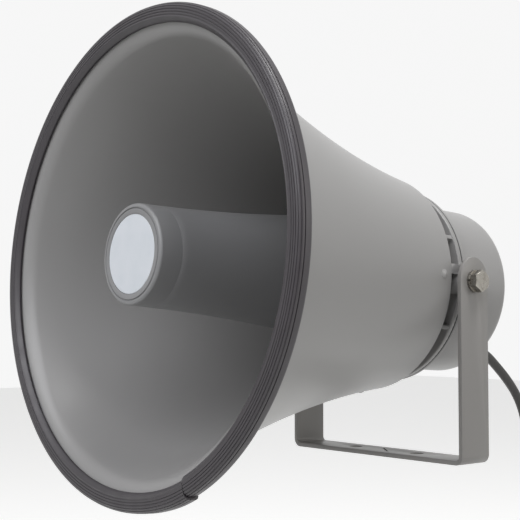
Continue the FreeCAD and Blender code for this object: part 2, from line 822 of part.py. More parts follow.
def route_points():
    """The cord's route in the tilted position at rest, measured from the tilt axis."""
    start = V(0, RELIEF_BACK_S - PIVOT_S, -GLAND_BELOW)
    start = FreeCAD.Rotation(V(1, 0, 0), -MOUTH_UP_DEG).multVec(start)
    return [start + V(0, y, z) for y, z in CORD_ROUTE]


def bent_path(points):
    """Straight runs joined by the widest tangent arcs that the runs allow."""
    edges = []
    radii = []
    here = points[0]
    for before, corner, after in zip(points, points[1:], points[2:]):
        back = (before - corner).normalize()
        on = (after - corner).normalize()
        turn = math.pi - back.getAngle(on)
        run = min((before - corner).Length, (after - corner).Length)
        radius = 0.45 * run / math.tan(turn / 2)
        radii.append(radius)
        first = corner + back * 0.45 * run
        last = corner + on * 0.45 * run
        middle = (back + on).normalize()
        centre = corner + middle * (radius / math.cos(turn / 2))
        edges.append(Part.LineSegment(here, first).toShape())
        edges.append(Part.Arc(first, centre - middle * radius, last).toShape())
        here = last
    edges.append(Part.LineSegment(here, points[-1]).toShape())
    print("cord arc radii", [round(radius) for radius in radii])
    return Part.Wire(edges)


def coil_centre():
    """The middle of the coil: the cord meets its outermost turn without a kink."""
    turn = math.radians(COIL_ENTRY_DEG)
    reach = COIL_RING_R + CORD_D / math.sqrt(3)
    return route_points()[-1] - V(0, math.cos(turn), math.sin(turn)) * reach


def bundle_r():
    """The outer radius of three turns that lie together."""
    return CORD_D / math.sqrt(3) + CORD_D / 2


def cord_coil():
    """One closed ring of the size of the tied coil."""
    return Part.makeTorus(COIL_RING_R, bundle_r(), coil_centre(), V(1, 0, 0))


def cord():
    """The stretch between the strain relief and the coil, and the short tail past it."""
    points = route_points()
    path = bent_path(points)
    circle = Part.Wire(Part.Circle(points[0], points[1] - points[0], CORD_D / 2).toShape())
    tube = path.makePipeShell([circle], True, True)
    expected = math.pi * CORD_D ** 2 / 4 * path.Length
    print("cord length", round(path.Length, 1), "volume ratio", round(tube.Volume / expected, 4))
    start, ahead = coil_end()
    tail = Part.makeCylinder(CORD_D / 2, TAIL_LONG, start, ahead)
    return [tube.cut(cord_coil()), tail.cut(cord_coil())]


def coil_end():
    """Where the last turn leaves the bundle, and which way it goes."""
    turn = math.radians(COIL_ENTRY_DEG - 360 * COIL_TURNS)
    across_bundle = math.radians(120 * COIL_TURNS)
    strand = CORD_D / math.sqrt(3)
    out = V(0, math.cos(turn), math.sin(turn))
    start = coil_centre() + out * (COIL_RING_R + strand * math.cos(across_bundle))
    start += V(strand * math.sin(across_bundle), 0, 0)
    return start, V(0, math.sin(turn), -math.cos(turn))


def cord_tie():
    """A band round the coil's turns."""
    half = TIE_WIDE / 2
    inner = bundle_r() + 0.2
    ring = across(-half, half, inner + TIE_THICK).cut(across(-half - 1, half + 1, inner))
    ring.rotate(V(0, 0, 0), V(0, 0, 1), 90)
    ring.translate(coil_centre() + V(0, 0, COIL_RING_R))
    return ring


def cord_leads():
    """The two stripped leads at the cord's end."""
    start, ahead = coil_end()
    leads = []
    for side in (-1, 1):
        base = start + ahead * TAIL_LONG + V(side * LEAD_R * 1.1, 0, 0)
        leads.append(Part.makeCylinder(LEAD_R, LEAD_LONG, base, ahead))
    return leads


# Writing the pieces


def placed_horn(shape):
    """From the level horn at the tilt axis to its place on the bracket."""
    copy = shape.copy()
    copy.rotate(V(0, 0, 0), V(1, 0, 0), -MOUTH_UP_DEG)
    return lifted(copy)


def lifted(shape):
    """From the tilt axis up to its height above the bracket's foot."""
    copy = shape.copy()
    copy.translate(V(0, 0, PIVOT_HEIGHT))
    return copy


def write(name, shapes, place):
    """One STEP file for a node of one or more solids."""
    shapes = shapes if isinstance(shapes, list) else [shapes]
    solids = []
    for shape in shapes:
        solids += place(shape).Solids
    for solid in solids:
        if not solid.isValid():
            print("NOT VALID", name)
    result = solids[0] if len(solids) == 1 else Part.makeCompound(solids)
    result.exportStep("parts/" + name + ".step")
    print(name, len(solids), "solids", round(result.Volume), "mm3")


def as_is(shape):
    return shape


os.makedirs("parts", exist_ok=True)

write("bracket", bracket(), as_is)
for name, shapes in {
    "tilt_bolts": both_sides(tilt_bolt()),
    "spring_washers": both_sides(spring_washer()),
    "friction_washers": both_sides(friction_washer()),
    "boss_inserts": both_sides(boss_insert()),
    "bell": bell(),
    "rim_trim": rim_trim(),
    "reflector": reflector(),
    "nose_cap": nose_cap(),
    "label_plate": label_plate(),
    "throat_tube": throat_tube(),
    "phase_plug": phase_plug(),
    "rear_base": rear_base(),
    "bell_rivets": bell_rivets(),
    "cover_gasket": cover_gasket(),
    "rear_cover": rear_cover(),
    "cover_screws": cover_screws(),
    "driver_top_plate": driver_top_plate(),
    "driver_magnet": driver_magnet(),
    "driver_back_plate": driver_back_plate(),
    "diaphragm": diaphragm(),
    "voice_coil": voice_coil(),
    "driver_screws": driver_screws(),
    "transformer_core": transformer_core(),
    "transformer_winding": transformer_winding(),
    "cable_gland": cable_gland(),
    "gland_locknut": gland_locknut(),
}.items():
    write(name, shapes, placed_horn)
for name, shapes in {
    "cord": cord(),
    "cord_coil": cord_coil(),
    "cord_tie": cord_tie(),
    "cord_leads": cord_leads(),
}.items():
    write(name, shapes, lifted)
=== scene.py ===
# %% [markdown]
# # A folded horn loudspeaker on its bracket
# This lesson dresses a finished CAD model of an outdoor horn loudspeaker. The CAD pieces give the
# sizes and the places. Large round pieces are turned again here with far more steps, so that they
# look smooth, and castings and fasteners are rounded copies of their CAD solids.

# %% Load the fixed frame
import math

import bmesh
import bpy
from mathutils import Matrix, Vector


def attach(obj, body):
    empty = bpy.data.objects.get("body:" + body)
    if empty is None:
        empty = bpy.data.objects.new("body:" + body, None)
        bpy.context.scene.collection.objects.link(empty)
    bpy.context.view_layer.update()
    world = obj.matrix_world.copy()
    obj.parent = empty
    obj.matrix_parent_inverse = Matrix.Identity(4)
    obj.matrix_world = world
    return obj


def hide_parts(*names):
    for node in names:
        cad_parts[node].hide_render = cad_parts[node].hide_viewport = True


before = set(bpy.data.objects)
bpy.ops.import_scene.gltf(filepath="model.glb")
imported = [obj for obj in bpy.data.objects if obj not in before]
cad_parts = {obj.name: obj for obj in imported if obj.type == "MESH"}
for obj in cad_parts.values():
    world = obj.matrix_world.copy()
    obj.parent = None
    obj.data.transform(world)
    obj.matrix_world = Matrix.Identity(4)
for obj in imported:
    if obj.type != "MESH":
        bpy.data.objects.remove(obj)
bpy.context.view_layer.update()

# %% [markdown]
# Blender works in metres, and the horn's own sizes are easier to read in millimetres. The horn's
# axis is tilted up a little about the two bolts. So every turned piece is first drawn level, with
# s as the distance back from the rim and r as the radius, and then put in place by one matrix.

# %% Sizes of the whole horn
MM = 0.001
EASE = 0.1  # the corners of small sections are eased by a few of these, in millimetres
PIVOT_S = 212.7
PIVOT_HEIGHT = 120.9
MOUTH_UP_DEG = 3.67
RIM_R = 152.5
TO_PIVOT = Matrix.Translation((0, 0, PIVOT_HEIGHT * MM))
TILT = Matrix.Rotation(-math.radians(MOUTH_UP_DEG), 4, "X")
IN_PLACE = TO_PIVOT @ TILT

# %% [markdown]
# ## The camera
# The photograph looks a little upwards from the right of the mouth. The focal length, place and
# direction were worked out from the rim, the nose, the bracket and the known size of its bolt.

# %% Camera
CAMERA_AT = Vector((0.5917, -0.6085, 0.0949))
LOOKS_ALONG = Vector((-0.7678, 0.6387, 0.0513))
LENS_MM = 81.49
SENSOR_MM = 36.0

camera_data = bpy.data.cameras.new("camera")
camera_data.lens = LENS_MM
camera_data.sensor_width = SENSOR_MM
camera = bpy.data.objects.new("camera", camera_data)
camera.location = CAMERA_AT
camera.rotation_euler = LOOKS_ALONG.to_track_quat("-Z", "Y").to_euler()
bpy.context.collection.objects.link(camera)
bpy.context.scene.camera = camera
print("camera distance to the tilt axis:", round((CAMERA_AT - TO_PIVOT.translation).length, 3), "m")

# %% [markdown]
# ## The cord
# A black lead leaves the strain relief below the rear cover and bends down under its own weight.
# Its route is a list of points in the plane behind the horn, each one so far back and so far up
# from the strain relief's end.

# %% Cord route
CORD_D = 7.0
CORD_ROUTE = [
    # back and up, in millimetres
    (0.0, 0.0), (12.0, -0.8), (22.9, -4.9), (33.9, -13.3), (47.4, -24.3), (59.9, -37.5),
    (68.4, -53.2), (73.4, -72.2), (76.4, -94.7), (80.4, -120.7), (88.4, -147.7), (98.4, -172.7),
]
RELIEF_END_S = 305.0
GLAND_BELOW = 42.0  # below the horn's axis

relief_end = TILT.to_3x3() @ Vector((0, RELIEF_END_S - PIVOT_S, -GLAND_BELOW))
route = [relief_end + Vector((0, y, z)) for y, z in CORD_ROUTE]
print(len(route), "points from the strain relief to the coil")

# %% [markdown]
# What the photograph doesn't show is wound into a small tied coil. A loop works out its points:
# three strands lie together as a bundle, and each turn moves on to the next place in the bundle.
# Where three round strands touch, their middles lie a diameter over the root of three from the
# bundle's own middle.

# %% Coil
COIL_RING_R = 40.0
COIL_ENTRY_DEG = 24.5
COIL_TURNS = 2.35
POINTS_PER_TURN = 18
STRANDS = 3
STRAND_R = CORD_D / math.sqrt(3)
TAIL_MM = (11.0, 22.0, 34.0)


def coil_points():
    """The coil's control points in millimetres from the tilt axis, and the way it ends."""
    entry = math.radians(COIL_ENTRY_DEG)
    last = route[-1]
    centre = last - Vector((0, math.cos(entry), math.sin(entry))) * (COIL_RING_R + STRAND_R)
    points = []
    steps = round(COIL_TURNS * POINTS_PER_TURN)
    for i in range(1, steps + 1):
        done = COIL_TURNS * i / steps
        turn = entry - math.tau * done
        round_bundle = math.tau / STRANDS * done
        out = Vector((0, math.cos(turn), math.sin(turn)))
        point = centre + out * (COIL_RING_R + STRAND_R * math.cos(round_bundle))
        points.append(point + Vector((STRAND_R * math.sin(round_bundle), 0, 0)))
    return points, Vector((0, math.sin(turn), -math.cos(turn)))


coil, ahead = coil_points()
tail = [coil[-1] + ahead * step for step in TAIL_MM]
cord_points = [TO_PIVOT @ (point * MM) for point in route + coil + tail]
print(len(cord_points), "points along the whole lead")

# %% [markdown]
# One smooth spline runs along the whole lead. The points carry the real radius and the bevel's
# depth is 1, because Blender multiplies the two, and a curve's box grows by its points' radius.

# %% Lead as one spline
cord_curve = bpy.data.curves.new("lead", "CURVE")
cord_curve.dimensions = "3D"
cord_curve.resolution_u = 8
cord_curve.bevel_depth = 1.0
cord_curve.bevel_resolution = 4
cord_curve.use_fill_caps = True
spline = cord_curve.splines.new("NURBS")
spline.points.add(len(cord_points) - 1)
for control, point in zip(spline.points, cord_points):
    control.co = (*point, 1)
    control.radius = CORD_D / 2 * MM
spline.order_u = 3
spline.use_endpoint_u = True
lead = bpy.data.objects.new("lead", cord_curve)
bpy.context.collection.objects.link(lead)


def curve_length(curve_object):
    """The length in metres of a curve's own line."""
    plain = curve_object.copy()
    plain.data = curve_object.data.copy()
    plain.data.bevel_depth = 0
    mesh = bpy.data.meshes.new_from_object(plain)
    line = [v.co for v in mesh.vertices]
    bpy.data.objects.remove(plain)
    return sum((b - a).length for a, b in zip(line, line[1:]))


LEAD_LENGTH = curve_length(lead)
print("lead length:", round(LEAD_LENGTH, 3), "m")

# %% [markdown]
# ## Helpers for shapes
# A turned piece starts as a few vertices joined into one outline, which is spun round the axis.
# A copied piece starts as its CAD solid: its doubled vertices are merged, its flat faces become
# whole again and its sharp edges get a small rounding that catches the light.

# %% Shape helpers
DOUBLES_M = 1e-6
DEGENERATE_M = 1e-7
TURN_STEPS = 192
SMOOTH_DEG = 35
SAME_PLANE_DEG = 0.1
SHARP_EDGE_DEG = 40
ROUND_SEGMENTS = 2


def arc(centre_s, centre_r, radius, start_deg, end_deg, steps=6):
    """Outline points on an arc; 0 degrees is towards the back and 90 is outwards."""
    points = []
    for i in range(steps + 1):
        turn = math.radians(start_deg + (end_deg - start_deg) * i / steps)
        points.append((centre_s + radius * math.cos(turn), centre_r + radius * math.sin(turn)))
    return points


def piece_from(name, bm, smooth_deg=SMOOTH_DEG):
    """A finished object from a bmesh that is already in its place."""
    mesh = bpy.data.meshes.new(name)
    bm.to_mesh(mesh)
    bm.free()
    mesh.shade_smooth()
    mesh.set_sharp_from_angle(angle=math.radians(smooth_deg))
    piece = bpy.data.objects.new(name, mesh)
    bpy.context.collection.objects.link(piece)
    print(name, len(mesh.polygons), "faces")
    return piece


def outline_bmesh(outline):
    """A closed outline in the plane of the axis, in metres, as vertices and edges."""
    bm = bmesh.new()
    verts = [bm.verts.new((0, (s - PIVOT_S) * MM, r * MM)) for s, r in outline]
    for i, vert in enumerate(verts):
        bm.edges.new((verts[i - 1], vert))
    return bm


def turned(name, outline, steps=TURN_STEPS):
    """A closed outline of (s, r) points spun once round the horn's axis."""
    bm = outline_bmesh(outline)
    bmesh.ops.spin(bm, geom=bm.verts[:] + bm.edges[:], cent=(0, 0, 0), axis=(0, 1, 0),
                   dvec=(0, 0, 0), angle=math.tau, steps=steps, use_merge=True)
    bmesh.ops.remove_doubles(bm, verts=bm.verts, dist=DOUBLES_M)
    bmesh.ops.dissolve_degenerate(bm, dist=DEGENERATE_M, edges=bm.edges)
    bmesh.ops.recalc_face_normals(bm, faces=bm.faces)
    bmesh.ops.transform(bm, matrix=IN_PLACE, verts=bm.verts)
    return piece_from(name, bm)


def rounded_copy(cad_node, name, round_mm, smooth_deg):
    """A CAD solid with its doubled vertices merged and its sharp edges rounded."""
    bm = bmesh.new()
    bm.from_mesh(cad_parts[cad_node].data)
    bmesh.ops.remove_doubles(bm, verts=bm.verts, dist=DOUBLES_M)
    bmesh.ops.dissolve_limit(bm, angle_limit=math.radians(SAME_PLANE_DEG), verts=bm.verts,
                             edges=bm.edges)
    sharp_over = math.radians(SHARP_EDGE_DEG)
    sharp = [e for e in bm.edges if e.is_manifold and e.calc_face_angle() > sharp_over]
    bmesh.ops.bevel(bm, geom=sharp, offset=round_mm * MM, offset_type="OFFSET",
                    segments=ROUND_SEGMENTS, profile=0.5, affect="EDGES", clamp_overlap=True,
                    material=-1)
    return piece_from(name, bm, smooth_deg)


def settle(piece, body, slot, material, *nodes):
    """What every new piece needs: its body, the CAD nodes it stands for and its finish. The slot is
    not used.
    """
    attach(piece, body)
    if nodes:
        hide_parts(*nodes)
    piece.data.materials.clear()
    piece.data.materials.append(material)


# %% [markdown]
# ## Helpers for finishes
# Colours are written as the hex values that a paint chart would give. A finish is a small node
# tree. One function adds a node with its settings and links. Every pattern reads the object's own
# coordinates, which are in metres, so its scale is worked out from a real size.

# %% Finish helpers
MIX_A, MIX_B, MIX_RESULT = 6, 7, 2  # where a Mix node keeps its colours
DRIFT_RANGE = (0.2, 0.8)
BUMP_STRENGTH = 0.6


def colour(hex_value):
    """An sRGB hex colour as linear RGBA."""
    parts = [int(hex_value[i:i + 2], 16) / 255 for i in (1, 3, 5)]
    return [*(p / 12.92 if p <= 0.04045 else ((p + 0.055) / 1.055) ** 2.4 for p in parts), 1]


def node(tree, kind, settings=None, **inputs):
    """Adds a node; inputs are values, or sockets of other nodes to link. _ stands for a space."""
    added = tree.nodes.new(kind)
    for key, value in (settings or {}).items():
        setattr(added, key, value)
    for key, value in inputs.items():
        socket = added.inputs[key.replace("_", " ")]
        if isinstance(value, bpy.types.NodeSocket):
            tree.links.new(value, socket)
        else:
            socket.default_value = value
    return added


def new_finish(name, **shader):
    """A material with only its main shader; returns its tree and shader too."""
    material = bpy.data.materials.new(name)
    material.use_nodes = True
    tree = material.node_tree
    main = tree.nodes["Principled BSDF"]
    for key, value in shader.items():
        main.inputs[key.replace("_", " ")].default_value = value
    return material, tree, main


def per_mm(size_mm):
    """The scale at which a pattern on coordinates in metres repeats about every size_mm."""
    return 1000.0 / size_mm


def mottled(tree, main, pale, dark, patch_mm, low=0.35, high=0.65, detail=3.0):
    """Base colour that drifts between two tones over patches of a real size."""
    where = node(tree, "ShaderNodeTexCoord").outputs["Object"]
    noise = node(tree, "ShaderNodeTexNoise", Vector=where, Scale=per_mm(patch_mm), Detail=detail)
    ramp = node(tree, "ShaderNodeMapRange", Value=noise.outputs["Fac"], From_Min=low, From_Max=high)
    mix = node(tree, "ShaderNodeMix", {"data_type": "RGBA"}, Factor=ramp.outputs["Result"])
    mix.inputs[MIX_A].default_value = colour(dark)
    mix.inputs[MIX_B].default_value = colour(pale)
    tree.links.new(mix.outputs[MIX_RESULT], main.inputs["Base Color"])
    return where


def rough_drift(tree, main, where, patch_mm, low, high):
    """Roughness that drifts a little over patches of a real size."""
    noise = node(tree, "ShaderNodeTexNoise", Vector=where, Scale=per_mm(patch_mm), Detail=0.0)
    drift = node(tree, "ShaderNodeMapRange", Value=noise.outputs["Fac"], From_Min=DRIFT_RANGE[0],
                 From_Max=DRIFT_RANGE[1], To_Min=low, To_Max=high)
    tree.links.new(drift.outputs["Result"], main.inputs["Roughness"])


def grain(tree, main, where, grain_mm, depth_mm, detail=2.0):
    """A fine raised grain of a real spacing and depth."""
    noise = node(tree, "ShaderNodeTexNoise", Vector=where, Scale=per_mm(grain_mm), Detail=detail)
    bump = node(tree, "ShaderNodeBump", Height=noise.outputs["Fac"], Distance=depth_mm * MM,
                Strength=BUMP_STRENGTH)
    tree.links.new(bump.outputs["Normal"], main.inputs["Normal"])


# %% [markdown]
# ## Paint
# The metal parts have a baked grey paint with a satin gloss: it shows soft, stretched highlights
# and a very fine orange peel. The bracket's paint is a little darker and duller. The nose and the
# reflector are moulded in the same grey, and their skin is as even as paint, so they share its
# function.

# %% Paints
PAINT_IOR = 1.5
PAINT_PATCH_MM = 90.0
PAINT_DRIFT_MM = 70.0


def baked_paint(name, pale, dark, low, high, peel_mm, peel_depth_mm):
    """Satin paint, sprayed and baked: even colour, soft gloss and slight orange peel."""
    material, tree, main = new_finish(name, IOR=PAINT_IOR)
    where = mottled(tree, main, pale, dark, PAINT_PATCH_MM, low=0.2, high=0.8, detail=0.0)
    rough_drift(tree, main, where, PAINT_DRIFT_MM, low, high)
    grain(tree, main, where, peel_mm, peel_depth_mm)
    return material


horn_paint = baked_paint("baked_satin_paint", "#908f8e", "#8d8c8b", 0.33, 0.36, 2.4, 0.012)
bracket_paint = baked_paint("baked_paint_on_strip", "#848280", "#817f7c", 0.37, 0.4, 1.8, 0.012)
nose_plastic = baked_paint("moulded_satin_plastic", "#828283", "#808080", 0.36, 0.39, 1.2, 0.01)
print("paints:", horn_paint.name, bracket_paint.name, nose_plastic.name)

# %% [markdown]
# ## Rubber
# The rim's moulding, the cover's seal and the lead's sheath are extruded rubber: nearly black,
# dull and a little blotchy, so their edges show only as soft grey lines. The real skin is finer
# than the render can show, so its grain is drawn coarser.

# %% Rubber
RUBBER_IOR = 1.52
RUBBER_PATCH_MM = 18.0
RUBBER_DRIFT_MM = 9.0
RUBBER_SPREAD = 0.06
RUBBER_GRAIN_MM = 2.6
RUBBER_GRAIN_DEPTH_MM = 0.008


def rubber(name, pale, dark, roughness):
    """Extruded rubber: dull, a little blotchy and with a fine skin."""
    material, tree, main = new_finish(name, IOR=RUBBER_IOR)
    where = mottled(tree, main, pale, dark, RUBBER_PATCH_MM, low=0.3, high=0.7)
    rough_drift(tree, main, where, RUBBER_DRIFT_MM, roughness - RUBBER_SPREAD,
                roughness + RUBBER_SPREAD)
    grain(tree, main, where, RUBBER_GRAIN_MM, RUBBER_GRAIN_DEPTH_MM)
    return material


trim_rubber = rubber("extruded_rim_rubber", "#343034", "#2e2a2e", 0.42)
seal_rubber = rubber("black_seal_rubber", "#2a2a2a", "#202020", 0.6)
cord_sheath = rubber("black_lead_sheath", "#2b2927", "#22201f", 0.45)
print("rubber:", trim_rubber.name, seal_rubber.name, cord_sheath.name)

# %% [markdown]
# ## Moulded plastics
# Small plastic pieces come out of a spark-eroded mould, which leaves a fine even grain that
# softens every highlight. The fibre washers and the magnet are pressed, not moulded, and look the
# same but duller.

# %% Moulded plastics
MOULDED_IOR = 1.53
MOULDED_PATCH_MM = 14.0
MOULDED_DRIFT_MM = 8.0
MOULDED_SPREAD = 0.05
MOULDED_GRAIN_MM = 0.6
MOULDED_GRAIN_DEPTH_MM = 0.015


def moulded(name, pale, dark, roughness):
    """Moulded nylon or similar, with a fine spark-eroded skin."""
    material, tree, main = new_finish(name, IOR=MOULDED_IOR)
    where = mottled(tree, main, pale, dark, MOULDED_PATCH_MM)
    rough_drift(tree, main, where, MOULDED_DRIFT_MM, roughness - MOULDED_SPREAD,
                roughness + MOULDED_SPREAD)
    grain(tree, main, where, MOULDED_GRAIN_MM, MOULDED_GRAIN_DEPTH_MM)
    return material


# The plate is a cool satin white, and the lead's skin is the one strong colour.
label_white = moulded("white_satin_plate", "#d4d8dd", "#cfd4d9", 0.34)
lead_skin = moulded("red_lead_skin", "#8c2f28", "#7e2822", 0.4)
# What holds or guides something is dark and dull, so that it stays in the background.
throat_plastic = moulded("dark_moulded_tube", "#454545", "#3c3c3c", 0.5)
gland_nylon = moulded("black_nylon", "#262626", "#1d1d1d", 0.45)
washer_fibre = moulded("vulcanised_fibre", "#5a4334", "#4d382b", 0.7)

# %% [markdown]
# ## Metals
# Bolts and washers are steel with bright zinc: a slightly warm grey whose gloss is broken up by
# many fine scratches. The other metals differ from it only in tint, gloss and scratches. The real
# scratches are too fine to show, so they are drawn a millimetre or so apart.

# %% Metals
METAL_PATCH_MM = 6.0
METAL_DRIFT_MM = 3.0
SCRATCH_DEPTH_MM = 0.002


def metal(name, pale, dark, low, high, scratch_mm):
    """A plated or bare metal with fine scratches in its gloss."""
    material, tree, main = new_finish(name, Metallic=1.0)
    where = mottled(tree, main, pale, dark, METAL_PATCH_MM, low=0.3, high=0.7)
    rough_drift(tree, main, where, METAL_DRIFT_MM, low, high)
    grain(tree, main, where, scratch_mm, SCRATCH_DEPTH_MM, detail=1.0)
    return material


# Plated steel: warm and fairly bright on the bolts, cooler and duller on screws and plates.
bolt_zinc = metal("bright_zinc", "#9c9992", "#88847d", 0.24, 0.34, 1.4)
screw_steel = metal("zinc_plated_steel", "#b9b9b6", "#a5a5a2", 0.28, 0.42, 0.9)
plate_steel = metal("plated_mild_steel", "#9fa0a2", "#8f9092", 0.3, 0.45, 1.5)
# Turned brass and enamelled wire: yellow and red-brown, with a silky gloss.
insert_brass = metal("turned_brass", "#c9a45c", "#b8934c", 0.25, 0.4, 0.8)
coil_copper = metal("enamelled_copper", "#b5653a", "#a1552e", 0.3, 0.45, 0.4)
# Pressed aluminium is the brightest, stacked iron sheet and sintered ferrite are the dullest.
dome_metal = metal("formed_aluminium", "#cfd0d2", "#bfc0c3", 0.2, 0.3, 1.5)
core_iron = metal("stacked_iron_sheet", "#77787a", "#66676a", 0.4, 0.6, 0.5)
ferrite = moulded("sintered_ferrite", "#3c3c3e", "#343436", 0.75)
print("materials so far:", len(bpy.data.materials))

# %% [markdown]
# ## The bell
# The bell is spun from sheet: its wall is thin and its front edge is turned out into a flat lip
# under the rim's moulding. Its curve is the same cubic as the CAD's, with the slopes at both ends.
# The bend into the lip is wide, so that it catches no bright ring next to the moulding.

# %% Bell's curve
BELL_BACK_S = 198.1
BELL_BACK_R = 75.4
BELL_FRONT_S = 1.5
BELL_FRONT_R = 137.3
BELL_BACK_SLOPE = 0.15
BELL_FRONT_SLOPE = 0.4627
BELL_WALL = 2.0
BEND_FROM_S = 7.45  # the bend into the lip starts here
LIP_BEND = 12.0
LIP_EDGE_R = 147.6


def bell_r(s):
    """The bell's outer radius at s."""
    long = BELL_BACK_S - BELL_FRONT_S
    t = (BELL_BACK_S - s) / long
    near_back = BELL_BACK_R + BELL_BACK_SLOPE * long / 3
    near_front = BELL_FRONT_R - BELL_FRONT_SLOPE * long / 3
    return (BELL_BACK_R * (1 - t) ** 3 + 3 * near_back * t * (1 - t) ** 2
            + 3 * near_front * t ** 2 * (1 - t) + BELL_FRONT_R * t ** 3)


# The bell's slope where the bend starts, measured over one millimetre.
BEND_SLOPE = math.atan(bell_r(BEND_FROM_S - 0.5) - bell_r(BEND_FROM_S + 0.5))
LIP_BACK_S = BEND_FROM_S + LIP_BEND * (math.sin(BEND_SLOPE) - 1)
print("slope at the bend:", round(math.degrees(BEND_SLOPE), 1), "degrees")

# %% [markdown]
# The section goes out along the outer face, round the lip and back along the inner face, so that
# one spin makes both faces and the sheet's edges.

# %% Bell
BELL_SECTION_STEPS = 40
BELL_TURN_STEPS = 256
LIP_STEPS = 12
INNER_LIP_STEPS = 16


def bell_outline():
    """The bell's closed section: out along the outer face, round the lip, back inside."""
    centre_s = LIP_BACK_S + LIP_BEND
    centre_r = bell_r(BEND_FROM_S) + LIP_BEND * math.cos(BEND_SLOPE)
    bend_deg = 270 - math.degrees(BEND_SLOPE)
    long = BELL_BACK_S - BEND_FROM_S
    places = [BELL_BACK_S - long * i / BELL_SECTION_STEPS for i in range(BELL_SECTION_STEPS)]
    outer = [(s, bell_r(s)) for s in places]
    lip = arc(centre_s, centre_r, LIP_BEND, bend_deg, 180, LIP_STEPS)
    lip += [(LIP_BACK_S, LIP_EDGE_R), (LIP_BACK_S - BELL_WALL, LIP_EDGE_R)]
    inner_bend = arc(centre_s, centre_r, LIP_BEND + BELL_WALL, 180, bend_deg, INNER_LIP_STEPS)
    shift_s = BELL_WALL * math.sin(BEND_SLOPE)
    inner = []
    for i, (s, r) in enumerate(reversed(outer)):
        near_front = 1 - (i + 1) / BELL_SECTION_STEPS
        wall = BELL_WALL * (1 + (math.cos(BEND_SLOPE) - 1) * near_front)
        inner.append((s - shift_s * near_front, r - wall))
    return outer + lip + inner_bend + inner


settle(turned("bell_shell", bell_outline(), BELL_TURN_STEPS), "horn", "horn_paint", horn_paint,
       "bell")

# %% [markdown]
# ## The rim's moulding
# A rubber profile is pushed over the lip. Its rounded front has a smooth inner band, then six fine
# ribs that follow the curve, a groove and a smooth outer band. The ribs are real geometry, each
# drawn from the same few points, because they show in the outline and in the highlights.

# %% Rim moulding's section
TRIM_FRONT_S = -5.5
TRIM_BACK_S = 4.4
TRIM_INNER_R = 140.4
FRONT_ROUND = 3.8
BACK_ROUND = 2.5
INNER_ROUND = 2.0
INNER_BAND = 2.8
TRIM_GROOVE_S = -1.6
TRIM_GROOVE = 0.6
RIB_FIRST_R = 144.2
RIB_COUNT = 6
RIB_PITCH = 1.7
# How far along the front, and how deep below it, each point of a rib lies.
RIB_SHAPE = [(0.0, 0.42), (0.25, 0.42), (0.42, 0.1), (0.7, 0.0), (1.25, 0.0), (1.53, 0.1)]


def front_point(along, deep):
    """A point on the moulding's front, along it from the first rib and a little below it."""
    corner_s = TRIM_FRONT_S + FRONT_ROUND
    corner_r = RIM_R - FRONT_ROUND
    straight = corner_r - RIB_FIRST_R
    if along <= straight:
        return TRIM_FRONT_S + deep, RIB_FIRST_R + along
    turn = math.pi - (along - straight) / FRONT_ROUND
    radius = FRONT_ROUND - deep
    return corner_s + radius * math.cos(turn), corner_r + radius * math.sin(turn)


def trim_outline():
    """The moulding's closed section, with its ribs and the slot for the lip."""
    band_s = TRIM_FRONT_S + INNER_BAND
    band_r = TRIM_INNER_R + INNER_BAND
    points = [(band_s, TRIM_INNER_R), (band_s - 3 * EASE, TRIM_INNER_R + EASE),
              (TRIM_FRONT_S + EASE, band_r - 2 * EASE), (TRIM_FRONT_S, band_r)]
    points += [front_point(i * RIB_PITCH + along, deep)
               for i in range(RIB_COUNT) for along, deep in RIB_SHAPE]
    groove_back = TRIM_GROOVE_S + TRIM_GROOVE
    groove_r = RIM_R - TRIM_GROOVE
    points += [(TRIM_GROOVE_S, RIM_R - EASE), (TRIM_GROOVE_S, groove_r), (groove_back, groove_r),
               (groove_back, RIM_R - 1.5 * EASE), (groove_back + 2 * EASE, RIM_R)]
    points += arc(TRIM_BACK_S - BACK_ROUND, RIM_R - BACK_ROUND, BACK_ROUND, 90, 0)
    points += arc(TRIM_BACK_S - INNER_ROUND, TRIM_INNER_R + INNER_ROUND, INNER_ROUND, 0, -90)
    lip_front = LIP_BACK_S - BELL_WALL
    return points + [(LIP_BACK_S, TRIM_INNER_R), (LIP_BACK_S, LIP_EDGE_R),
                     (lip_front, LIP_EDGE_R), (lip_front, TRIM_INNER_R)]


# %% [markdown]
# The profile's two ends meet at the lower right. It was cut a little too long, so its left end
# sits slightly further out. So it isn't spun all the way round: the spin leaves a fine gap, both
# ends are closed with a face, and the last few degrees before the joint are pushed outwards.

# %% Rim moulding
JOINT_DEG = -63.5
JOINT_GAP_DEG = 0.22
STAND_OFF = 1.6
STAND_OFF_DEG = 16.0
TRIM_TURN_STEPS = 360
TRIM_SMOOTH_DEG = 30


